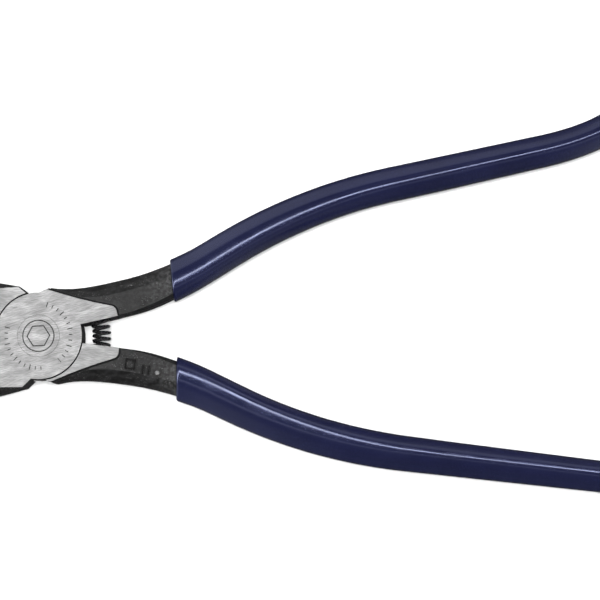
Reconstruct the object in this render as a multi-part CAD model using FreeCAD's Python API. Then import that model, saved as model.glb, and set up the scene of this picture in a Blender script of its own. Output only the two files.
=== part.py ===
import FreeCAD, Part
import math
import os

from FreeCAD import Vector

# Spring-opening side-cutting pliers: two crossed forged halves on a flush rivet, dipped grips, return spring.
#
# Frame: the origin is where the rivet's axis meets the underside of the hub. +Z runs up along the rivet,
# +X runs along the bisector of the open handles towards their ends, and +Y towards the hooked handle.
#
# Both halves are one forging. It is drawn closed, with its handle on +Y, its jaw on -Y and its round
# plate in the upper layer. The rear half is the same forging turned over about X. Each half is then
# swung open by REST_SWING.

# ---- driving dimensions, in millimetres and degrees ----------------------------------------------

DEPTH = 12.6             # ground face to ground face
MID = DEPTH / 2
HUB_RADIUS = 12.4        # round plate of each half
HUB_GAP = 0.35           # radial gap around the other half's plate
LAP_GAP = 0.04           # between the two plates
REST_SWING = 10.1        # each half from closed to rest

INNER_EDGE = 0.5         # the handles' inner edges stop this far from the closed centre line
PAD_END = 23.3           # end of the ground face along the handle
PAD_STEP = 0.9           # the forged neck lies this far below the ground face
PAD_DRAFT = 0.55         # width of the slope down that step

JAW_FACE = -0.05         # gripping faces and cutting edges stop this far from the closed centre line
NOSE = -42.0             # nose tip
CREST = (-7.2, -13.35)   # top of the shoulder, where the outer bevel starts
CUTTER_END = -28.0       # outer end of the cutting edges
CUTTER_FLARE = 3.0       # half width of the cutters' V at the ground faces
BEVEL_SLOPE = 35.0       # fall of the jaws' outer bevels
BEVEL_RUN_IN = 12.65     # how far the bevels' upper edges turn in towards the nose
NOSE_BEVEL = 1.6         # length of the bevel across the nose tip
SHOULDER_BREAK = 0.35    # chamfer on the shoulder behind the jaw

KNURL_PITCH = 1.5
KNURL_DEPTH = 0.4

RIVET_SHANK = 4.5        # radius
RIVET_HEAD = 6.0         # radius of each countersunk head
RIVET_HEAD_DEPTH = 1.8
RUNNING_FIT = 0.04       # radial, rivet in the front half
TIGHT_FIT = 0.01         # radial, rivet in the rear half

SHOULDER_X = 6.3             # the forging's root starts beside the hub here
HANDLE_START = (24.0, 5.5)   # where the handle's centre line leaves the straight root
NECK_LENGTH = 16.7           # bare steel along the centre line before the grip
NECK_SWELL = 0.25            # extra width at the handle's root
KNEE = 0.3                   # bulge of the neck's inner edge
KNEE_PLACE = 7.5             # along the neck's centre line
INNER_BREAK = 0.3            # chamfer of the inner edge, at the handle's root
FLANK_WIDTH = 3.6            # sloping flank on the outer side, at the handle's root
FLANK_DROP = 2.2             # fall of that flank
FLANK_BEND = (0.45, 0.36)    # where it bends: share of its width from the outside, share of its fall
ROOT_SECTIONS = 6            # beside the hub, where the next three change
ROOT_SPREAD = 2.25           # the root is this much wider at the hub
ROOT_FLANK_WIDTH = 0.8
ROOT_FLANK_DROP = 0.6
GRIP_WALL = 1.22             # vinyl at the sides and on the crown
GRIP_WIDTH = 11.35           # at the rim, before the flare
GRIP_TAPER = 0.0181          # width lost per millimetre
RIM_FLARE = 0.55             # extra width at the rim
FLARE_LENGTH = 10.0          # the flare fades out over this length
GRIP_DOME = 5.0              # length of the rounded end
GRIP_FIT = 0.03              # between grip and steel
GRIP_END = 3.5               # vinyl beyond the end of the steel
RIM_POINT = (40.6, 7.0)      # the rim's plane passes here
RIM_ANGLE = 83.6             # direction of the rim's edge seen from above
STATION_SPACING = 6.0        # between lofted sections

POCKET_X = 17.6          # spring pockets, drilled square into the inner edges
POCKET_RADIUS = 3.3
POCKET_DEPTH = 4.3
SPRING_WIRE = 0.44       # radius
SPRING_COIL = 2.27       # radius of the wire's centre line
SPRING_X = 16.95
SPRING_LENGTH = 13.2
SPRING_PITCH = 1.76

MARK_DEPTH = 0.15
TICK_RADIUS = 9.2        # engraved ticks round the rivet, on the arcs below: first and last angle, count
TICK_ARCS = ((152, 262, 12), (-62, 62, 13))
TICK_WIDTH = 0.22
TICK_LENGTHS = (1.5, 1.0, 1.0)
HEXAGON_RADIUS = 3.4     # engraved on the rivet's heads
RING_RADII = (4.3, 4.6)

FORGE_MARK_RISE = 0.4    # raised marks on the neck
FORGE_FRAME = (25.4, 3.1, 3.2, 1.9)      # corner x and y, outer and inner width
FORGE_BARS = ((30.4, 4.4), (32.1, 4.4))
FORGE_BAR_SIZE = (0.7, 2.8)
FORGE_DOT = (34.9, 6.2, 0.65)            # centre x and y, radius


# ---- small helpers -------------------------------------------------------------------------------

def arc(radius, turn):
    """A run of the handle's line that turns left by turn degrees (right if negative)."""
    return radius * math.radians(abs(turn)), turn


def straight(length):
    return length, 0.0


def outline_face(points, z=0.0):
    corners = [Vector(x, y, z) for x, y in points]
    return Part.Face(Part.makePolygon(corners + corners[:1]))


def prism(points, low, high):
    return outline_face(points, low).extrude(Vector(0, 0, high - low))


def cylinder(radius, low, high, x=0.0, y=0.0):
    return Part.makeCylinder(radius, high - low, Vector(x, y, low))


def both_faces(shape):
    """The shape and its mirror image about mid-depth."""
    return shape.fuse(shape.mirror(Vector(0, 0, MID), Vector(0, 0, 1)))


def blend(along, stops):
    """Straight-line interpolation through (distance, value) stops, held beyond the last."""
    for (near, first), (far, last) in zip(stops, stops[1:]):
        if along <= far:
            return first + (last - first) * max(0.0, along - near) / (far - near)
    return stops[-1][1]


# ---- the handle's line ---------------------------------------------------------------------------

SHARED_RUNS = [arc(85.0, 18.5), straight(7.4), arc(154.4, -19.0), straight(44.7)]
HOOK_RUNS = [arc(100.0, 4.0), arc(75.0, 6.0), arc(42.0, 27.0), straight(5.0)]
PLAIN_RUNS = [straight(37.0)]


def line_length(runs):
    return sum(length for length, turn in runs)


def on_line(runs, distance):
    """Point (x, y) and heading in radians at a distance along the handle's line."""
    x, y = HANDLE_START
    heading = 0.0
    for length, turn in runs:
        part = min(distance, length)
        swing = math.radians(turn) * part / length
        chord = part if swing == 0 else 2 * part / swing * math.sin(swing / 2)
        x += chord * math.cos(heading + swing / 2)
        y += chord * math.sin(heading + swing / 2)
        heading += swing
        distance -= part
        if distance <= 0:
            break
    return x, y, heading


def stations(end):
    count = math.ceil(end / STATION_SPACING)
    return [end * i / count for i in range(count + 1)]


def placed(section, x, y, heading):
    """A section of (across, up) points as 3-D points, across being positive on the handle's outer side."""
    return [
        Vector(x - across * math.sin(heading), y + across * math.cos(heading), MID + up)
        for across, up in section
    ]


# ---- forged steel --------------------------------------------------------------------------------

def grip_width(along):
    past_rim = along - NECK_LENGTH
    flare = blend(past_rim, [(0, RIM_FLARE), (FLARE_LENGTH, 0)])
    return GRIP_WIDTH - GRIP_TAPER * past_rim + flare


def core_width(along):
    swell = blend(along, [(0, NECK_SWELL), (NECK_LENGTH, 0)])
    return grip_width(along) - 2 * GRIP_WALL + swell


def core_half_depth(along):
    return blend(along, [(0, MID - PAD_STEP), (NECK_LENGTH, 4.3), (165, 3.6)])


def forged_section(inner, outer, half_depth, inner_crease, inner_drop, outer_crease, outer_drop):
    """Ten corners: flat crown, a steep flank on the inner side, a rounder one outside, upright edges."""
    bend_across, bend_down = FLANK_BEND
    upper = [
        (inner, half_depth - inner_drop),
        (inner + inner_crease, half_depth),
        (outer - outer_crease, half_depth),
        (outer - bend_across * outer_crease, half_depth - bend_down * outer_drop),
        (outer, half_depth - outer_drop),
    ]
    return upper + [(across, -up) for across, up in reversed(upper)]


def core_section(along, grow=0.0):
    half_width = core_width(along) / 2 + grow
    knee = blend(along, [(0, 0), (KNEE_PLACE, KNEE), (NECK_LENGTH, 0)])
    inner_crease = blend(along, [(0, INNER_BREAK), (6, 0.6), (NECK_LENGTH, 1.25)])
    inner_drop = blend(along, [(0, INNER_BREAK), (6, 0.9), (NECK_LENGTH, 1.7)])
    outer_crease = blend(along, [(0, FLANK_WIDTH), (60, 3.2)])
    inner = -half_width - knee
    half_depth = core_half_depth(along) + grow
    return forged_section(
        inner, half_width, half_depth, inner_crease, inner_drop, outer_crease, FLANK_DROP
    )


def root_sections(grow):
    """Sections from the shoulder beside the hub to the start of the handle's line."""
    sections = []
    start_x, centre = HANDLE_START
    inner = INNER_EDGE - grow
    half_depth = core_half_depth(0) + grow
    for i in range(ROOT_SECTIONS):
        back = 1 - i / ROOT_SECTIONS
        x = start_x - (start_x - SHOULDER_X) * back
        outer = centre + core_width(0) / 2 + ROOT_SPREAD * back**3 + grow
        crease = FLANK_WIDTH - (FLANK_WIDTH - ROOT_FLANK_WIDTH) * back**2
        drop = FLANK_DROP - (FLANK_DROP - ROOT_FLANK_DROP) * back**2
        section = forged_section(inner, outer, half_depth, INNER_BREAK, INNER_BREAK, crease, drop)
        sections.append(placed(section, x, 0.0, 0.0))
    return sections


def core_end(runs):
    return line_length(runs) - GRIP_END


def loft(sections):
    wires = [Part.makePolygon(points + points[:1]) for points in sections]
    return Part.makeLoft(wires, True, False)


def handle_steel(runs, grow=0.0):
    """The forged neck and the core inside the grip, grown all round by grow."""
    distances = stations(core_end(runs))
    distances[-1] += grow
    along_line = [placed(core_section(d, grow), *on_line(runs, d)) for d in distances]
    return loft(root_sections(grow) + along_line)


# ---- hub, pad and jaw ----------------------------------------------------------------------------

def pad():
    """Ground face beside the hub on the handle's side, with a drafted step down to the forging."""
    shoulder_tip = Vector(5.9, 12.75, 0)
    slope_end = Vector(22.2, 4.3, 0)
    end_corner = Vector(PAD_END + PAD_DRAFT, 1.7, 0)
    inner_end = Vector(PAD_END + PAD_DRAFT, INNER_EDGE, 0)
    hub_side = Vector(0, INNER_EDGE, 0)
    hub_top = Vector(0, 9.0, 0)
    notch = Vector(2.8, 12.08, 0)
    drafted = [
        Part.Arc(shoulder_tip, Vector(13.7, 8.35, 0), slope_end).toShape(),
        Part.Arc(slope_end, Vector(23.5, 3.2, 0), end_corner).toShape(),
        Part.makeLine(end_corner, inner_end),
    ]
    upright = [Part.makeLine(inner_end, hub_side), Part.makeLine(hub_side, hub_top)]
    shoulder = [Part.makeLine(hub_top, notch), Part.makeLine(notch, shoulder_tip)]
    body = Part.Face(Part.Wire(drafted + upright + shoulder)).extrude(Vector(0, 0, DEPTH))
    return chamfered(body, PAD_STEP, PAD_DRAFT, on_drafted_side)


def middle_of(edge):
    return edge.valueAt((edge.FirstParameter + edge.LastParameter) / 2)


def is_level(edge, height):
    return all(abs(vertex.Z - height) < 0.01 for vertex in edge.Vertexes)


def on_drafted_side(edge):
    middle = middle_of(edge)
    return middle.x > 6 and middle.y > INNER_EDGE + 0.01


def on_jaw_shoulder(edge):
    middle = middle_of(edge)
    return CREST[0] < middle.x < 0 and middle.y < -10.5


def chamfered(body, drop, width, wanted):
    """The body with the wanted edges of both ground faces cut back by width and down by drop."""
    for face_height in (0, DEPTH):
        edges = [edge for edge in body.Edges if is_level(edge, face_height) and wanted(edge)]
        body = body.makeChamfer(drop, width, edges)
    return body


def jaw_outline():
    """Half of the head in front of the rivet, from the shoulder notch round to the nose."""
    shoulder = Vector(-4.4, -11.6, 0)
    crest = Vector(*CREST, 0)
    widest = Vector(-14.5, -13.75, 0)
    flank = Vector(-27.0, -12.6, 0)
    corner = Vector(-39.0, -8.9, 0)
    tip_side = Vector(-41.4, -7.0, 0)
    tip = Vector(NOSE, -5.0, 0)
    inner_tip = Vector(NOSE, JAW_FACE, 0)
    root = Vector(-2.0, JAW_FACE, 0)
    root_low = Vector(-2.0, -10.0, 0)
    edges = [
        Part.makeLine(root_low, shoulder),
        Part.makeLine(shoulder, crest),
        Part.makeLine(crest, widest),
        Part.Arc(widest, flank, corner).toShape(),
        Part.Arc(corner, tip_side, tip).toShape(),
        Part.makeLine(tip, inner_tip),
        Part.makeLine(inner_tip, root),
        Part.makeLine(root, root_low),
    ]
    return Part.Face(Part.Wire(edges))


def bevel_cutter(x, y, heading):
    """A block whose underside starts on the upper ground face at (x, y) and falls away on one side."""
    block = Part.makeBox(80, 30, 20, Vector(-5, 0, 0))
    block.rotate(Vector(0, 0, 0), Vector(1, 0, 0), -BEVEL_SLOPE)
    block.rotate(Vector(0, 0, 0), Vector(0, 0, 1), heading)
    block.translate(Vector(x, y, DEPTH))
    return block


def cutter_notch():
    """The V between the cutting edges on this half's side: two flats that meet the edge at mid-depth."""
    near, far = -HUB_RADIUS - HUB_GAP, CUTTER_END
    profile = [
        Vector(near, 1.0, MID + 0.05),
        Vector(near, JAW_FACE, MID + 0.05),
        Vector(near, -CUTTER_FLARE, DEPTH + 0.05),
        Vector(near, 1.0, DEPTH + 0.05),
    ]
    face = Part.Face(Part.makePolygon(profile + profile[:1]))
    return both_faces(face.extrude(Vector(far - near, 0, 0)))


def knurl_grooves():
    """Crossed diagonal V grooves over the gripping face, one solid each."""
    length = CUTTER_END - NOSE
    reach = length + DEPTH
    count = int(reach / 2 / KNURL_PITCH)
    mouth = KNURL_DEPTH * 1.2
    profile = [
        Vector(0, JAW_FACE - KNURL_DEPTH, -reach),
        Vector(mouth, 0.1, -reach),
        Vector(-mouth, 0.1, -reach),
    ]
    groove = Part.Face(Part.makePolygon(profile + profile[:1])).extrude(Vector(0, 0, 2 * reach))
    window = Part.makeBox(length + 0.4, 2, DEPTH + 2, Vector(NOSE - 1, -1, -1))
    grooves = []
    for lean in (45, -45):
        for i in range(-count, count + 1):
            copy = groove.copy()
            copy.translate(Vector(i * KNURL_PITCH, 0, 0))
            copy.rotate(Vector(0, 0, 0), Vector(0, 1, 0), lean)
            copy.translate(Vector((CUTTER_END + NOSE) / 2, 0, MID))
            grooves.append(copy.common(window))
    return [trimmed for trimmed in grooves if trimmed.Volume > 0.01]


def jaw():
    body = jaw_outline().extrude(Vector(0, 0, DEPTH))
    body = chamfered(body, SHOULDER_BREAK, SHOULDER_BREAK, on_jaw_shoulder)
    side_bevel = bevel_cutter(*CREST, 180 - BEVEL_RUN_IN)
    nose_bevel = bevel_cutter(NOSE + NOSE_BEVEL, -12.0, 90)
    bevels = both_faces(side_bevel).fuse(both_faces(nose_bevel))
    return body.cut(bevels).cut(cutter_notch()).cut(knurl_grooves())


# ---- machining shared by both halves -------------------------------------------------------------

def rivet_hole(gap):
    """Hole for the shank, with a sink for the head that runs on past the ground face."""
    shank = cylinder(RIVET_SHANK + gap, MID - 1, DEPTH + 1)
    beyond = 2 * RIVET_HEAD - RIVET_SHANK
    start = Vector(0, 0, DEPTH - RIVET_HEAD_DEPTH)
    sink = Part.makeCone(RIVET_SHANK + gap, beyond + gap, 2 * RIVET_HEAD_DEPTH, start)
    return shank.fuse(sink)


def spring_pocket():
    start = Vector(POCKET_X, INNER_EDGE - 2, MID)
    return Part.makeCylinder(POCKET_RADIUS, POCKET_DEPTH + 2, start, Vector(0, 1, 0))


def engraved_ticks():
    """Two arcs of short radial ticks where a maker would stamp the plate."""
    ticks = []
    for first, last, count in TICK_ARCS:
        for i in range(count):
            length = TICK_LENGTHS[i % len(TICK_LENGTHS)]
            corner = Vector(TICK_RADIUS - length / 2, -TICK_WIDTH / 2, DEPTH - MARK_DEPTH)
            tick = Part.makeBox(length, TICK_WIDTH, 1, corner)
            tick.rotate(Vector(0, 0, 0), Vector(0, 0, 1), first + (last - first) * i / (count - 1))
            ticks.append(tick)
    return Part.makeCompound(ticks)


def neck_mark(shape, x):
    """A mark drawn from z = 0 up, set to stand proud of the neck's lower face at x."""
    surface = MID - core_half_depth(x - HANDLE_START[0])
    shape.translate(Vector(0, 0, surface - FORGE_MARK_RISE))
    return shape


def forge_marks():
    """Raised frame, pair of bars and dot on the underside of the neck."""
    x, y, outer, inner = FORGE_FRAME
    rim = (outer - inner) / 2
    frame = Part.makeBox(outer, outer, 1, Vector(x, y, 0))
    hollow = Part.makeBox(inner, inner, 3, Vector(x + rim, y + rim, -1))
    marks = [neck_mark(frame.cut(hollow), x + outer)]
    for x, y in FORGE_BARS:
        marks.append(neck_mark(Part.makeBox(*FORGE_BAR_SIZE, 1.2, Vector(x, y, 0)), x))
    x, y, radius = FORGE_DOT
    marks.append(neck_mark(Part.makeCylinder(radius, 1.2, Vector(x, y, 0)), x))
    return marks


def half(runs, rivet_gap):
    steel = cylinder(HUB_RADIUS, MID, DEPTH).fuse([pad(), handle_steel(runs), jaw()] + forge_marks())
    other_plate = cylinder(HUB_RADIUS + HUB_GAP, -1, MID + LAP_GAP / 2)
    steel = steel.cut([other_plate, rivet_hole(rivet_gap), spring_pocket(), engraved_ticks()])
    return steel.removeSplitter()


# ---- rivet, spring and grips ---------------------------------------------------------------------

def rivet():
    """Countersunk and flush on both faces, with a plain engraved ring and hexagon."""
    profile = [
        Vector(0, 0, 0),
        Vector(RIVET_HEAD, 0, 0),
        Vector(RIVET_SHANK, 0, RIVET_HEAD_DEPTH),
        Vector(RIVET_SHANK, 0, DEPTH - RIVET_HEAD_DEPTH),
        Vector(RIVET_HEAD, 0, DEPTH),
        Vector(0, 0, DEPTH),
    ]
    body = Part.Face(Part.makePolygon(profile + profile[:1])).revolve(Vector(0, 0, 0), Vector(0, 0, 1), 360)
    corners = [math.radians(angle) for angle in range(0, 360, 60)]
    hexagon = [(HEXAGON_RADIUS * math.cos(angle), HEXAGON_RADIUS * math.sin(angle)) for angle in corners]
    inner = [(x * 0.9, y * 0.9) for x, y in hexagon]
    low, high = DEPTH - MARK_DEPTH, DEPTH + 1
    hexagon_line = prism(hexagon, low, high).cut(prism(inner, low, high))
    ring_line = cylinder(RING_RADII[1], low, high).cut(cylinder(RING_RADII[0], low, high))
    return body.cut(both_faces(hexagon_line)).cut(both_faces(ring_line))


def spring():
    path = Part.makeHelix(SPRING_PITCH, SPRING_LENGTH, SPRING_COIL)
    wire_circle = Part.Wire(Part.makeCircle(SPRING_WIRE, Vector(SPRING_COIL, 0, 0), Vector(0, 1, 0)))
    coil = Part.Wire(path.Edges).makePipeShell([wire_circle], True, True)
    coil.rotate(Vector(0, 0, 0), Vector(1, 0, 0), -90)
    coil.translate(Vector(SPRING_X, -SPRING_LENGTH / 2, MID))
    return coil


def grip_section(along, shrink=1.0):
    """A rounded section whose crown lies nearer the inner side than the outer."""
    width = grip_width(along) * shrink
    half_depth = (core_half_depth(along) + GRIP_WALL) * shrink
    inner_side = [(0.0, 0.0), (0.03, 0.38), (0.1, 0.7), (0.2, 0.89)]
    crown = [(0.32, 0.985), (0.39, 1.0), (0.46, 0.985)]
    outer_side = [(0.64, 0.885), (0.82, 0.68), (0.94, 0.46), (0.99, 0.22), (1.0, 0.0)]
    upper = inner_side + crown + outer_side
    points = upper + [(share, -up) for share, up in reversed(upper[1:-1])]
    return [((share - 0.5) * width, up * half_depth) for share, up in points]


def rounded_wire(points):
    curve = Part.BSplineCurve()
    curve.interpolate(Points=points, PeriodicFlag=True)
    return Part.Wire(curve.toShape())


def grip(runs):
    first = NECK_LENGTH - 6
    last = line_length(runs) - GRIP_DOME
    count = math.ceil((last - first) / STATION_SPACING)
    places = [(first + (last - first) * i / count, 1.0) for i in range(count + 1)]
    for share in (0.35, 0.65, 0.86, 0.97):
        places.append((last + GRIP_DOME * share, math.sqrt(1 - share**2)))
    wires = [rounded_wire(placed(grip_section(d, shrink), *on_line(runs, d))) for d, shrink in places]
    outer = Part.makeLoft(wires, True, False)
    bare_side = Part.makeBox(40, 60, 40, Vector(-40, -30, -20))
    bare_side.rotate(Vector(0, 0, 0), Vector(0, 0, 1), RIM_ANGLE - 90)
    bare_side.translate(Vector(RIM_POINT[0], RIM_POINT[1], MID))
    return outer.cut(bare_side).cut(handle_steel(runs, GRIP_FIT))


# ---- assembly ------------------------------------------------------------------------------------

def swing(shape, angle):
    shape.rotate(Vector(0, 0, 0), Vector(0, 0, 1), angle)
    return shape


def turned_over(shape):
    shape.rotate(Vector(0, 0, MID), Vector(1, 0, 0), 180)
    return shape


def build():
    hooked = SHARED_RUNS + HOOK_RUNS
    plain = SHARED_RUNS + PLAIN_RUNS
    return {
        "front_half": swing(half(hooked, RUNNING_FIT), REST_SWING),
        "rear_half": swing(turned_over(half(plain, TIGHT_FIT)), -REST_SWING),
        "front_grip": swing(grip(hooked), REST_SWING),
        "rear_grip": swing(turned_over(grip(plain)), -REST_SWING),
        "pivot_rivet": rivet(),
        "return_spring": spring(),
    }


os.makedirs("parts", exist_ok=True)
for name, shape in build().items():
    shape.exportStep(f"parts/{name}.step")
    print(name, shape.isValid(), len(shape.Solids), round(shape.Volume, 1), shape.BoundBox)
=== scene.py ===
import bpy
import math
import numpy as np
from mathutils import Matrix, Vector


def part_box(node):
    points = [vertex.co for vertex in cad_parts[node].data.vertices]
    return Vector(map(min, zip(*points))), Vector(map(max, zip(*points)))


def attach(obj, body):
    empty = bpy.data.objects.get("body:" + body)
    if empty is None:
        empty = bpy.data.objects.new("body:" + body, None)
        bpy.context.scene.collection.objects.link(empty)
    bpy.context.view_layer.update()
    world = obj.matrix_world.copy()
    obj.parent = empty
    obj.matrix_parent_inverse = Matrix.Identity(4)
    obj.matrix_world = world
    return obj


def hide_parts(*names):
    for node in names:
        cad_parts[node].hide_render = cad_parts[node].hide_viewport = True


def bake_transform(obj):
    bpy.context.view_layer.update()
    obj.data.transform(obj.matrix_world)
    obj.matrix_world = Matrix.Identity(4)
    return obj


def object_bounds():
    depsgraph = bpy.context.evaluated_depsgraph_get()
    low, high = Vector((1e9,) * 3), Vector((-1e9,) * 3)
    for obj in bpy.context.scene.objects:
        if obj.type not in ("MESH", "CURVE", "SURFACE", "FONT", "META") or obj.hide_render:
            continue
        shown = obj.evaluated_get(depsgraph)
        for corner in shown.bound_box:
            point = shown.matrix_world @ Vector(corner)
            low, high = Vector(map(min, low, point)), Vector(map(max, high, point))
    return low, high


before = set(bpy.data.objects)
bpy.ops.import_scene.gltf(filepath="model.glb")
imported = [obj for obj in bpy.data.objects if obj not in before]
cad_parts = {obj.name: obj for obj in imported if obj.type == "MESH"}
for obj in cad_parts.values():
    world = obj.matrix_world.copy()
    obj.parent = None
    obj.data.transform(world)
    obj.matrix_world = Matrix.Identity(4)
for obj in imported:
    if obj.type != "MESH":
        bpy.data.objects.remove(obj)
cad_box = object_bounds()

# Spring-opening side-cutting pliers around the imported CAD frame. Sizes are in metres unless a name says
# otherwise. The two steel halves and the rivet keep their CAD shapes and get their finishes here. The
# dipped grips and the return spring are built here and stand for their CAD nodes.

MM = 0.001
REST_SWING = math.radians(10.1)      # each half is turned this far from closed
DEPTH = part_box("pivot_rivet")[1].z   # ground face to ground face
MID = DEPTH / 2


# ---- the handles' line, as in the CAD model ------------------------------------------------------

HANDLE_START = (24.0 * MM, 5.5 * MM)
RIM_DISTANCE = 16.7 * MM           # along the line to the middle of the grip's rim
RIM_SKEW = math.radians(17.9)      # the rim leans this far from square to the handle
GRIP_WIDTH = 11.35 * MM            # at the rim, before the flare
RIM_FLARE = 0.55 * MM              # extra width at the rim, gone after FLARE_LENGTH
FLARE_LENGTH = 10.0 * MM
GRIP_TAPER = 0.0181                # width lost per unit of length
GRIP_HALF_DEPTH = 5.5 * MM
GRIP_THINNING = 0.0045             # half depth lost per unit of length
DOME = 5.0 * MM                    # length of the rounded end


def arc(radius, turn):
    """A run of the handle's line as (length, turn in radians), turning left if turn is positive."""
    return radius * MM * math.radians(abs(turn)), math.radians(turn)


def straight(length):
    return length * MM, 0.0


SHARED_RUNS = [arc(85.0, 18.5), straight(7.4), arc(154.4, -19.0), straight(44.7)]
HOOKED = SHARED_RUNS + [arc(100.0, 4.0), arc(75.0, 6.0), arc(42.0, 27.0), straight(5.0)]
PLAIN = SHARED_RUNS + [straight(37.0)]


def line_length(runs):
    return sum(length for length, turn in runs)


def on_line(runs, distance):
    """Point (x, y) and heading at a distance along the handle's line, the half being closed."""
    x, y = HANDLE_START
    heading = 0.0
    for index, (length, turn) in enumerate(runs):
        last = index == len(runs) - 1
        part = distance if last else min(distance, length)
        swing = turn * part / length
        chord = part if swing == 0 else 2 * part / swing * math.sin(swing / 2)
        x += chord * math.cos(heading + swing / 2)
        y += chord * math.sin(heading + swing / 2)
        heading += swing
        distance -= part
        if distance <= 0:
            break
    return x, y, heading


def smooth(value, low, high):
    """An eased step from 0 at low to 1 at high."""
    t = min(1.0, max(0.0, (value - low) / (high - low)))
    return t * t * (3 - 2 * t)


# ---- meshes --------------------------------------------------------------------------------------

def tube_faces(rings, around):
    """Quads between consecutive closed rings, and one flat face closing each end."""
    faces = []
    for r in range(rings - 1):
        for k in range(around):
            following = (k + 1) % around
            here, ahead = r * around, (r + 1) * around
            faces.append((here + k, here + following, ahead + following, ahead + k))
    faces.append(tuple(reversed(range(around))))
    faces.append(tuple(range((rings - 1) * around, rings * around)))
    return faces


def new_piece(name, points, faces, material):
    mesh = bpy.data.meshes.new(name)
    mesh.from_pydata([tuple(p) for p in points], [], faces)
    mesh.validate()
    mesh.polygons.foreach_set("use_smooth", [True] * len(mesh.polygons))
    mesh.materials.append(material)
    mesh.update()
    piece = bpy.data.objects.new(name, mesh)
    bpy.context.scene.collection.objects.link(piece)
    return piece


def rounded_ring(corners, radii, steps):
    """Points round a convex polygon whose corners are rounded, steps + 1 points to each corner."""
    ring = []
    count = len(corners)
    for i, corner in enumerate(corners):
        before = (corners[i - 1] - corner).normalized()
        after = (corners[(i + 1) % count] - corner).normalized()
        half_angle = before.angle(after) / 2
        reach = min((corners[i - 1] - corner).length, (corners[(i + 1) % count] - corner).length) * 0.49
        radius = min(radii[i], reach * math.tan(half_angle))
        centre = corner + (before + after).normalized() * radius / math.sin(half_angle)
        start = corner + before * radius / math.tan(half_angle) - centre
        end = corner + after * radius / math.tan(half_angle) - centre
        turn = start.angle_signed(end)
        for k in range(steps + 1):
            spun = Matrix.Rotation(-turn * k / steps, 2) @ start
            ring.append(centre + spun)
    return ring


# ---- dipped grips --------------------------------------------------------------------------------

SECTION_CORNERS = 12
CORNER_STEPS = 6                   # round each corner of the section
BODY_STEPS = 120                   # rings along the handle
DOME_STEPS = 12                    # rings over the rounded end
LIP_END = 0.8 * MM                 # the rim's lip has run out here
SKEW_FADE = 16 * MM                # rings are square to the handle beyond this
CROWN_AT_RIM = 0.39                # the crown's place across the width, from the inner side
CROWN_SHIFT = 0.06                 # it moves this far towards the middle along the handle
SLIMMER_UPPER = 0.25 * MM          # the hooked grip's inner side near the rim
SLIMMER_LOWER = -0.2 * MM          # the plain grip's: fuller
LIP = (                            # millimetres along from the rim and growth of the section
    (2.5, -1.9), (0.4, -1.6), (0.12, -1.1), (0.0, -0.72),
    (0.0, -0.4), (0.06, -0.2), (0.18, -0.07), (0.4, 0.0),
)


def grip_ring(along, slimmer, grow=0.0, shrink=1.0):
    """The grip's outline square to the handle, as (across, up), across being positive on the outer side.

    Each dipped grip is a little different: near its rim the inner side is slimmer by this much, or
    fuller if it is negative.
    """
    past_rim = along - RIM_DISTANCE
    flare = RIM_FLARE * min(1.0, max(0.0, 1 - past_rim / FLARE_LENGTH))
    width = (GRIP_WIDTH - GRIP_TAPER * past_rim + flare) * shrink + 2 * grow
    half_depth = (GRIP_HALF_DEPTH - GRIP_THINNING * past_rim) * shrink + grow
    fade = smooth(past_rim, 0.01, 0.09)
    crown = (CROWN_AT_RIM + CROWN_SHIFT * fade - 0.5) * width
    flat = (0.85 - 0.5 * fade) * MM * shrink
    inner = slimmer * (1 - smooth(past_rim, 0.05, 0.09)) - width / 2
    outer = width / 2
    upper = [                      # across, up, and the corner's radius in millimetres
        (inner, half_depth * 0.44, 3.2),
        (crown - flat - 0.3 * (crown - inner), half_depth * 0.92, 3.0),
        (crown - flat, half_depth, 8.0),
        (crown + flat, half_depth, 8.0),
        (crown + flat + 0.3 * (outer - crown), half_depth * 0.92, 5.0),
        (outer, half_depth * 0.42, 2.6),
    ]
    section = upper + [(across, -up, radius) for across, up, radius in reversed(upper)]
    corners = [Vector((across, up)) for across, up, radius in section]
    return rounded_ring(corners, [radius * MM * shrink for across, up, radius in section], CORNER_STEPS)


def grip_rings(runs):
    """Rings as (distance, growth, scale): round the rim's lip, along the handle, over the rounded end."""
    rings = [(RIM_DISTANCE + along * MM, growth * MM, 1.0) for along, growth in LIP]
    first = RIM_DISTANCE + LIP_END
    last = line_length(runs) - DOME
    for i in range(BODY_STEPS + 1):
        rings.append((first + (last - first) * i / BODY_STEPS, 0.0, 1.0))
    for i in range(1, DOME_STEPS + 1):
        angle = math.pi / 2 * i / DOME_STEPS
        rings.append((last + DOME * math.sin(angle), 0.0, max(0.02, math.cos(angle))))
    return rings


def grip_points(runs, turned_over, swing, slimmer):
    """Row-frame points of every ring. Rings near the rim are sheared to lie along the oblique rim."""
    placed = []
    for along, grow, shrink in grip_rings(runs):
        lean = 1 - smooth(along, RIM_DISTANCE, RIM_DISTANCE + SKEW_FADE)
        for across, up in grip_ring(along, slimmer, grow, shrink):
            skewed = along + lean * across * math.tan(RIM_SKEW)
            x, y, heading = on_line(runs, skewed)
            x -= across * math.sin(heading)
            y += across * math.cos(heading)
            placed.append((x, -y if turned_over else y, MID + up))
    turn = Matrix.Rotation(swing, 3, "Z")
    return [turn @ Vector(p) for p in placed]


def make_grip(name, node, body, runs, turned_over, swing, slimmer, material):
    points = grip_points(runs, turned_over, swing, slimmer)
    around = SECTION_CORNERS * (CORNER_STEPS + 1)
    faces = tube_faces(len(points) // around, around)
    if not turned_over:
        faces = [tuple(reversed(face)) for face in faces]
    grip = new_piece(name, points, faces, material)
    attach(grip, body)
    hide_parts(node)
    return grip


# ---- return spring -------------------------------------------------------------------------------

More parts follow.
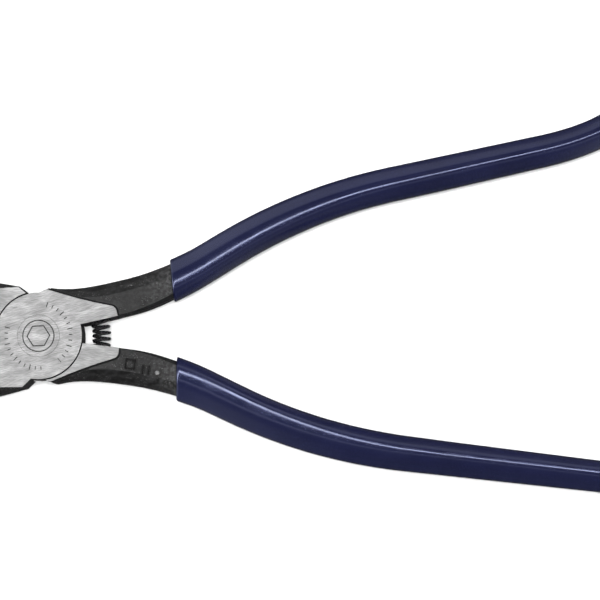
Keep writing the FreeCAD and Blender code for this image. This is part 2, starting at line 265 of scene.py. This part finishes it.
SPRING_RADIUS = 17.6 * MM     # from the pivot to the coil's middle
INNER_EDGE = 0.5 * MM
POCKET_DEPTH = 4.3 * MM
COIL_RADIUS = 2.27 * MM
WIRE_RADIUS = 0.44 * MM
OPEN_PITCH = 1.61 * MM
CLOSED_PITCH = 0.95 * MM      # of the end turns, one wire on the next
SEAT_GAP = 0.25 * MM          # between the end turns and the pockets' floors
FIRST_TURN = math.radians(-20)
STEPS_A_TURN = 40
WIRE_SIDES = 12


def spring_axis(s):
    """Point and direction on the coil's axis: bent round the pivot in the gap, straight in the pockets."""
    half_gap = REST_SWING + INNER_EDGE / SPRING_RADIUS
    angle = max(-half_gap, min(half_gap, s / SPRING_RADIUS))
    beyond = s - angle * SPRING_RADIUS
    outward = Vector((math.cos(angle), math.sin(angle), 0))
    along = Vector((-math.sin(angle), math.cos(angle), 0))
    return Vector((0, 0, MID)) + outward * SPRING_RADIUS + along * beyond, outward, along


def coil_places():
    """Places on the coil as (distance along its axis, angle turned), the end turns being closed up."""
    reach = REST_SWING * SPRING_RADIUS + INNER_EDGE + POCKET_DEPTH - WIRE_RADIUS - SEAT_GAP
    s, turned = -reach, FIRST_TURN
    places = []
    while s < reach:
        closed = smooth(abs(s), reach - 1.3 * MM, reach - 0.7 * MM)
        pitch = OPEN_PITCH + (CLOSED_PITCH - OPEN_PITCH) * closed
        places.append((s, turned))
        s += pitch / STEPS_A_TURN
        turned += 2 * math.pi / STEPS_A_TURN
    return places


def make_spring(material):
    places = coil_places()
    centres = []
    for s, turned in places:
        middle, outward, along = spring_axis(s)
        away = outward * math.cos(turned) - Vector((0, 0, 1)) * math.sin(turned)
        centres.append(middle + away * COIL_RADIUS)
    points = []
    for i, centre in enumerate(centres):
        ahead = (centres[min(i + 1, len(centres) - 1)] - centres[max(i - 1, 0)]).normalized()
        middle = spring_axis(places[i][0])[0]
        side = (centre - middle).normalized()
        other = ahead.cross(side)
        for k in range(WIRE_SIDES):
            angle = 2 * math.pi * k / WIRE_SIDES
            points.append(centre + (side * math.cos(angle) + other * math.sin(angle)) * WIRE_RADIUS)
    coil = new_piece("return_spring_coil", points, tube_faces(len(centres), WIRE_SIDES), material)
    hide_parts("return_spring")
    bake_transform(coil)


# ---- materials -----------------------------------------------------------------------------------

class Finish:
    """A material with a principled shader, and short ways to add and join nodes."""

    def __init__(self, name, colour, metallic, roughness):
        self.material = bpy.data.materials.new(name)
        self.material.use_nodes = True
        self.tree = self.material.node_tree
        self.shader = self.tree.nodes["Principled BSDF"]
        self.set(self.shader, {"Base Color": (*colour, 1), "Metallic": metallic, "Roughness": roughness})
        self.place = self.add("ShaderNodeTexCoord").outputs["Object"]

    def set(self, node, values):
        for key, value in values.items():
            node.inputs[key].default_value = value

    def add(self, kind, links=None, **values):
        node = self.tree.nodes.new(kind)
        self.set(node, {key.replace("_", " "): value for key, value in values.items()})
        for key, output in (links or {}).items():
            self.tree.links.new(output, node.inputs[key])
        return node

    def join(self, output, key):
        self.tree.links.new(output, self.shader.inputs[key])

    def grain(self, sizes, turn=0.0, detail=2.0, seed=0.0):
        """Noise whose features measure about sizes (x, y, z) in metres, turned about Z."""
        mapping = self.add("ShaderNodeMapping", {"Vector": self.place})
        mapping.vector_type = "TEXTURE"
        self.set(mapping, {"Location": (seed, seed, seed), "Rotation": (0, 0, turn), "Scale": sizes})
        placed = {"Vector": mapping.outputs["Vector"]}
        return self.add("ShaderNodeTexNoise", placed, Scale=1.0, Detail=detail).outputs["Fac"]

    def span(self, value, low, high, near=0.3, far=0.7):
        node = self.add("ShaderNodeMapRange", {"Value": value})
        node.interpolation_type = "SMOOTHSTEP"
        self.set(node, {"From Min": near, "From Max": far, "To Min": low, "To Max": high})
        return node.outputs["Result"]

    def mix(self, share, first, second):
        """A colour between two, each given as a colour or as another node's output."""
        node = self.add("ShaderNodeMix", {"Factor": share})
        node.data_type = "RGBA"
        colour_sockets = node.inputs[6:8]
        for socket, colour in zip(colour_sockets, (first, second)):
            if isinstance(colour, tuple):
                socket.default_value = (*colour, 1)
            else:
                self.tree.links.new(colour, socket)
        return node.outputs[2]

    def larger(self, first, second):
        node = self.add("ShaderNodeMath")
        node.operation = "MAXIMUM"
        self.tree.links.new(first, node.inputs[0])
        self.tree.links.new(second, node.inputs[1])
        return node.outputs[0]

    def edges(self, radius):
        """Nearly 1 on sharp edges and 0 elsewhere."""
        smoothed = self.add("ShaderNodeBevel", Radius=radius).outputs["Normal"]
        facing = self.add("ShaderNodeVectorMath")
        facing.operation = "DOT_PRODUCT"
        self.tree.links.new(smoothed, facing.inputs[0])
        self.tree.links.new(self.add("ShaderNodeNewGeometry").outputs["Normal"], facing.inputs[1])
        return self.span(facing.outputs["Value"], 1, 0, 0.86, 0.99)

    def hollows(self, reach):
        """Nearly 0 in corners and beside steps, 1 on open faces: the mask for painted shade."""
        openness = self.add("ShaderNodeAmbientOcclusion", Distance=reach).outputs["AO"]
        return self.span(openness, 0, 1, 0.45, 0.95)

    def relief(self, height, distance, strength=1.0, edge=0.0):
        """Bump from a height, over edges rounded by edge metres in the shading."""
        links = {"Height": height}
        if edge:
            links["Normal"] = self.add("ShaderNodeBevel", Radius=edge).outputs["Normal"]
        bump = self.add("ShaderNodeBump", links, Distance=distance, Strength=strength)
        self.join(bump.outputs["Normal"], "Normal")


def ground_steel(name, turn):
    """Bright face ground along the half, with fine streaks."""
    finish = Finish(name, (0.6, 0.6, 0.6), 1.0, 0.4)
    streaks = finish.grain((2.2 * MM, 0.12 * MM, 2.2 * MM), turn, 3.0)
    clouds = finish.grain((6 * MM, 2.2 * MM, 6 * MM), turn, 2.0, 0.3)
    tone = finish.mix(finish.span(streaks, 0, 1, 0.25, 0.75), (0.22, 0.22, 0.22), (0.45, 0.45, 0.45))
    cloudy = finish.mix(finish.span(clouds, 0, 0.25), tone, (0.27, 0.27, 0.27))
    finish.join(cloudy, "Base Color")
    finish.join(finish.span(clouds, 0.36, 0.5), "Roughness")
    finish.relief(streaks, 0.02 * MM, 0.45, 0.12 * MM)
    return finish.material


def machined_steel():
    """Broached and milled faces inside the jaws: bright, with short cross marks."""
    finish = Finish("machined_jaw_faces", (0.5, 0.5, 0.5), 1.0, 0.38)
    marks = finish.grain((0.25 * MM, 3 * MM, 3 * MM), 0.0, 2.0)
    finish.join(finish.mix(finish.span(marks, 0, 1), (0.36, 0.36, 0.36), (0.52, 0.52, 0.515)), "Base Color")
    finish.join(finish.span(marks, 0.32, 0.45), "Roughness")
    finish.relief(marks, 0.02 * MM, 0.4, 0.1 * MM)
    return finish.material


def forged(name, dark, light, sheen=0.45, speck=0.11):
    """Black oxide over forging scale: satin patches and fine pits, rougher in hollows, where painted shade
    darkens it to near black.

    It is rubbed paler on its edges and in specks, and a painted highlight makes it paler towards the grips.
    """
    finish = Finish(name, light, 0.0, 0.42)
    finish.set(finish.shader, {"Specular IOR Level": sheen})
    patches = finish.grain((3.2 * MM, 1.8 * MM, 3.2 * MM), 0.0, 3.0)
    mottle = finish.grain((0.9 * MM,) * 3, 0.0, 4.0, 0.4)
    pits = finish.grain((0.3 * MM,) * 3, 0.0, 3.0, 0.2)
    along_handle = finish.add("ShaderNodeSeparateXYZ", {"Vector": finish.place}).outputs["X"]
    # painted highlight: the colour turns paler along X as the necks reach the grips
    highlight_towards_grips = finish.mix(finish.span(along_handle, 0, 1, 28 * MM, 44 * MM), light, (0.05, 0.05, 0.052))
    scale = finish.mix(finish.span(mottle, 0, 1, 0.35, 0.7), dark, highlight_towards_grips)
    bare = finish.mix(finish.span(patches, 0, 1, 0.45, 0.6), scale, (speck, speck, speck))
    rubbed = finish.mix(finish.span(pits, 0, 1, 0.58, 0.72), scale, bare)
    worn = finish.mix(finish.edges(0.25 * MM), rubbed, (0.04, 0.04, 0.04))
    # painted shade: ambient occlusion darkens the colour to near black in corners and beside steps
    open_faces = finish.hollows(0.7 * MM)
    finish.join(finish.mix(open_faces, (0.001, 0.001, 0.001), worn), "Base Color")
    dulled = finish.larger(finish.span(patches, 0.3, 0.55), finish.span(open_faces, 0.95, 0.0, 0.0, 1.0))
    finish.join(dulled, "Roughness")
    finish.relief(pits, 0.08 * MM, 0.8, 0.25 * MM)
    return finish.material


def shaded_forged_walls():
    """Upright and steep forged faces in painted shade: the same scale, rougher, less shiny and without the
    paler specks and edges.
    """
    finish = Finish("shaded_forged_walls", (0.004, 0.004, 0.004), 0.0, 0.7)
    finish.set(finish.shader, {"Specular IOR Level": 0.2})
    mottle = finish.grain((0.8 * MM,) * 3, 0.0, 3.0)
    scale = finish.mix(finish.span(mottle, 0, 1), (0.003, 0.003, 0.003), (0.015, 0.015, 0.016))
    finish.join(scale, "Base Color")
    finish.join(finish.span(mottle, 0.55, 0.8), "Roughness")
    finish.relief(mottle, 0.05 * MM, 0.6)
    return finish.material


def worn_steel():
    """Forged steel rubbed through its black."""
    finish = Finish("worn_steel", (0.3, 0.3, 0.3), 1.0, 0.45)
    scuffs = finish.grain((0.4 * MM,) * 3, 0.0, 3.0)
    finish.join(finish.mix(finish.span(scuffs, 0, 1), (0.1, 0.1, 0.1), (0.27, 0.27, 0.27)), "Base Color")
    finish.relief(scuffs, 0.03 * MM, 0.5)
    return finish.material


def engraved_black():
    finish = Finish("engraved_marks", (0.05, 0.05, 0.05), 0.4, 0.6)
    grit = finish.grain((0.2 * MM,) * 3)
    finish.join(finish.mix(finish.span(grit, 0, 1), (0.03, 0.03, 0.03), (0.09, 0.09, 0.09)), "Base Color")
    return finish.material


def spring_black():
    finish = Finish("oiled_spring_wire", (0.01, 0.01, 0.01), 0.0, 0.28)
    drawn = finish.grain((0.5 * MM,) * 3, 0.0, 3.0)
    finish.set(finish.shader, {"Specular IOR Level": 0.35})
    oiled = finish.mix(finish.span(drawn, 0, 1), (0.003, 0.003, 0.0035), (0.014, 0.014, 0.015))
    finish.join(oiled, "Base Color")
    finish.join(finish.span(drawn, 0.2, 0.34), "Roughness")
    finish.relief(drawn, 0.01 * MM, 0.4)
    return finish.material


def navy_vinyl():
    """Glossy dipped vinyl: even colour, faint flow waves and a very fine skin."""
    finish = Finish("navy_vinyl", (0.008, 0.011, 0.045), 0.0, 0.18)
    finish.set(finish.shader, {"Coat Weight": 0.35, "Coat Roughness": 0.06})
    finish.set(finish.shader, {"Specular IOR Level": 0.95, "Specular Tint": (0.55, 0.62, 1.0, 1)})
    shade = finish.grain((14 * MM,) * 3, 0.0, 2.0)
    flow = finish.grain((7 * MM, 3 * MM, 7 * MM), 0.0, 1.0, 0.4)
    navy = finish.mix(finish.span(shade, 0, 1), (0.0045, 0.0054, 0.022), (0.006, 0.0072, 0.028))
    finish.join(navy, "Base Color")
    finish.join(finish.span(flow, 0.15, 0.22), "Roughness")
    finish.relief(flow, 0.05 * MM, 0.5)
    return finish.material


# ---- finishes on the CAD steel -------------------------------------------------------------------

GROUND, FORGED, MACHINED, ENGRAVED, WORN, RAISED, SHADED_WALLS = range(7)
FACE_SKIN = 0.01 * MM                # a triangle nearer than this to a ground face lies in it
TICK_DEPTH = 0.15 * MM
TICK_RING = (8 * MM, 10.5 * MM)      # the ticks lie between these radii
JAW_START = -12.3 * MM               # in front of the round plate
MOUTH_SIDE = -3.05 * MM              # the cutters' flats reach this far from the closed centre line
NOTCH_END = -28.2 * MM               # the cutters' notch has ended here
DOT_REACH = 0.62 * MM
FORGE_DOT = (34.9 * MM, 6.2 * MM)    # raised dot on the neck, rubbed bright
FORGE_MARKS = [                      # raised frame and bars: low, high x; low, high y; height of the tops
    (25.3 * MM, 28.7 * MM, 3.0 * MM, 6.4 * MM, 0.9 * MM),
    (30.3 * MM, 32.9 * MM, 4.3 * MM, 7.3 * MM, 1.1 * MM),
]


def closed_frame(vectors, swing, turned_over, is_point):
    """Row-frame vectors in the frame of the closed half: handle on +Y, round plate in the upper layer."""
    turn = np.array(Matrix.Rotation(-swing, 3, "Z"))
    out = vectors @ turn.T
    if turned_over:
        out = out * np.array((1.0, -1.0, -1.0))
        if is_point:
            out = out + np.array((0.0, 0.0, DEPTH))
    return out


def steel_kinds(centres, normals):
    """Which finish each triangle of a half carries, from its place and its slope on the closed half."""
    x, y, z = centres.T
    level = np.abs(normals[:, 2])    # 1 on level faces, 0 on upright ones
    from_face = np.minimum(np.abs(z), np.abs(DEPTH - z))
    reach = np.hypot(x, y)
    kinds = np.full(len(x), FORGED)
    # painted shade: upright and steep faces take the darker, duller wall copy of the forged black
    kinds[level < 0.6] = SHADED_WALLS
    kinds[(level > 0.999) & (from_face < FACE_SKIN)] = GROUND
    jaw_side = (x < JAW_START) & (y > MOUTH_SIDE) & (level < 0.95)
    gripping = normals[:, 1] > 0.3   # faces that look across the closed mouth
    in_notch = x > NOTCH_END
    kinds[jaw_side & (gripping | in_notch)] = MACHINED
    engraved = (from_face > FACE_SKIN) & (from_face < TICK_DEPTH * 1.05)
    kinds[engraved & (reach > TICK_RING[0]) & (reach < TICK_RING[1])] = ENGRAVED
    for low_x, high_x, low_y, high_y, top in FORGE_MARKS:
        within = (x > low_x) & (x < high_x) & (y > low_y) & (y < high_y)
        kinds[within & (level > 0.99) & (z < top)] = RAISED
    on_dot = np.hypot(x - FORGE_DOT[0], y - FORGE_DOT[1]) < DOT_REACH
    kinds[on_dot & (level > 0.99) & (z < MID)] = WORN
    return kinds


def paint_half(node, swing, turned_over, materials):
    """Gives a half its materials, whose order is that of the kinds above."""
    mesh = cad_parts[node].data
    mesh.materials.clear()
    for material in materials:
        mesh.materials.append(material)
    count = len(mesh.polygons)
    centres, normals = np.zeros(count * 3), np.zeros(count * 3)
    mesh.polygons.foreach_get("center", centres)
    mesh.polygons.foreach_get("normal", normals)
    centres = closed_frame(centres.reshape(-1, 3), swing, turned_over, True)
    normals = closed_frame(normals.reshape(-1, 3), swing, turned_over, False)
    mesh.polygons.foreach_set("material_index", steel_kinds(centres, normals).astype(np.int32))
    mesh.update()


def paint_rivet(top, engraved):
    """The rivet is ground with the hub, and its ring and hexagon are engraved."""
    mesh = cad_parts["pivot_rivet"].data
    mesh.materials.clear()
    mesh.materials.append(top)
    mesh.materials.append(engraved)
    for face in mesh.polygons:
        depth = min(abs(face.center.z), abs(DEPTH - face.center.z))
        face.material_index = int(FACE_SKIN < depth < TICK_DEPTH * 1.05)


# ---- camera, floor and light ---------------------------------------------------------------------

VIEW_MIDDLE = Vector((75.1 * MM, 6.4 * MM, DEPTH))
VIEW_DISTANCE = 0.684
SENSOR_WIDTH = 36                    # millimetres, as is the lens
LENS = 143.6
VIEW_ROLL = math.radians(2.95)
VIEW_LEAN = math.radians(4.42)
LIT_POINT = Vector((0.07, 0, 0))     # the lights are aimed here
FLOOR_GAP = 0.02 * MM                # keeps the floor off the lower ground faces


def make_camera():
    """Nearly straight above, leaning a little towards -Y and rolled a little about the view."""
    data = bpy.data.cameras.new("camera")
    data.sensor_width = SENSOR_WIDTH
    data.lens = LENS
    data.clip_start, data.clip_end = 0.01, 50
    camera = bpy.data.objects.new("camera", data)
    bpy.context.scene.collection.objects.link(camera)
    right = Vector((math.cos(VIEW_ROLL), -math.sin(VIEW_ROLL), 0))
    up_level = Vector((math.sin(VIEW_ROLL), math.cos(VIEW_ROLL), 0))
    back = Vector((0, 0, math.cos(VIEW_LEAN))) - up_level * math.sin(VIEW_LEAN)
    up = back.cross(right)
    axes = Matrix((right, up, back)).transposed().to_4x4()
    camera.matrix_world = Matrix.Translation(VIEW_MIDDLE + back * VIEW_DISTANCE) @ axes
    bpy.context.scene.camera = camera


def make_floor():
    finish = Finish("pale_floor", (0.85, 0.85, 0.85), 0.0, 0.7)
    paper = finish.grain((0.03, 0.03, 0.03))
    finish.join(finish.mix(finish.span(paper, 0, 1), (0.84, 0.84, 0.84), (0.86, 0.86, 0.86)), "Base Color")
    mesh = bpy.data.meshes.new("floor")
    reach = 4.0
    corners = [(-reach, -reach, 0), (reach, -reach, 0), (reach, reach, 0), (-reach, reach, 0)]
    mesh.from_pydata(corners, [], [(0, 1, 2, 3)])
    mesh.materials.append(finish.material)
    floor = bpy.data.objects.new("floor", mesh)
    floor.location.z = cad_box[0].z - FLOOR_GAP
    floor.visible_glossy = False
    bpy.context.scene.collection.objects.link(floor)


def soft_light(name, place, size, watts, in_reflections=True):
    """A rectangular light of size (width, depth) in metres."""
    data = bpy.data.lights.new(name, "AREA")
    data.shape = "RECTANGLE"
    data.size, data.size_y = size
    data.energy = watts
    light = bpy.data.objects.new(name, data)
    light.location = place
    light.rotation_mode = "QUATERNION"
    light.rotation_quaternion = (LIT_POINT - Vector(place)).to_track_quat("-Z", "Y")
    light.visible_glossy = in_reflections
    bpy.context.scene.collection.objects.link(light)


def make_studio():
    """A dim room that brightens towards both ends of the pliers."""
    world = bpy.data.worlds.new("studio")
    world.use_nodes = True
    tree = world.node_tree
    background = tree.nodes["Background"]
    background.inputs["Color"].default_value = (1, 1, 1, 1)
    direction = tree.nodes.new("ShaderNodeSeparateXYZ")
    tree.links.new(tree.nodes.new("ShaderNodeTexCoord").outputs["Generated"], direction.inputs[0])
    sideways = tree.nodes.new("ShaderNodeMath")
    sideways.operation = "ABSOLUTE"
    tree.links.new(direction.outputs["X"], sideways.inputs[0])
    strength = tree.nodes.new("ShaderNodeMapRange")
    strength.interpolation_type = "SMOOTHSTEP"
    strength.inputs["From Min"].default_value = 0.2
    strength.inputs["From Max"].default_value = 0.8
    strength.inputs["To Min"].default_value = 0.1
    strength.inputs["To Max"].default_value = 0.65
    tree.links.new(sideways.outputs[0], strength.inputs["Value"])
    tree.links.new(strength.outputs["Result"], background.inputs["Strength"])
    bpy.context.scene.world = world


def make_lights():
    """Overhead for the diffuse light, narrow strips for the long highlights, ends and far side for fill."""
    soft_light("overhead", (0.07, 0, 1.4), (0.35, 0.35), 22, in_reflections=False)
    soft_light("far_side", (0.07, 1.3, 0.55), (2.2, 0.8), 2.6)
    soft_light("strip_far", (-0.1, 0.2, 1.2), (1.8, 0.11), 7)
    soft_light("strip_near", (0.0, -0.36, 1.2), (1.8, 0.12), 0.5)
    soft_light("end_left", (-1.3, 0, 0.8), (0.8, 1.2), 10)
    soft_light("end_right", (1.45, 0, 0.8), (0.8, 1.2), 6)


# ---- assembly ------------------------------------------------------------------------------------

def paint_steel():
    black = forged("forged_black_oxide", (0.0015, 0.0015, 0.0015), (0.009, 0.009, 0.0095))
    marks = forged("forge_marks_black", (0.001, 0.001, 0.001), (0.003, 0.003, 0.003), 0.15, 0.02)
    shared = [black, machined_steel(), engraved_black(), worn_steel(), marks, shaded_forged_walls()]
    front_face = ground_steel("ground_steel_front", REST_SWING)
    rear_face = ground_steel("ground_steel_rear", -REST_SWING)
    paint_half("front_half", REST_SWING, False, [front_face] + shared)
    paint_half("rear_half", -REST_SWING, True, [rear_face] + shared)
    paint_rivet(front_face, shared[ENGRAVED - 1])


def make_soft_pieces():
    vinyl = navy_vinyl()
    make_grip("front_grip_vinyl", "front_grip", "front", HOOKED, False, REST_SWING, SLIMMER_UPPER, vinyl)
    make_grip("rear_grip_vinyl", "rear_grip", "rear", PLAIN, True, -REST_SWING, SLIMMER_LOWER, vinyl)
    make_spring(spring_black())


make_camera()
paint_steel()
make_soft_pieces()
make_floor()
make_studio()
make_lights()
bpy.context.scene.view_settings.view_transform = "Standard"
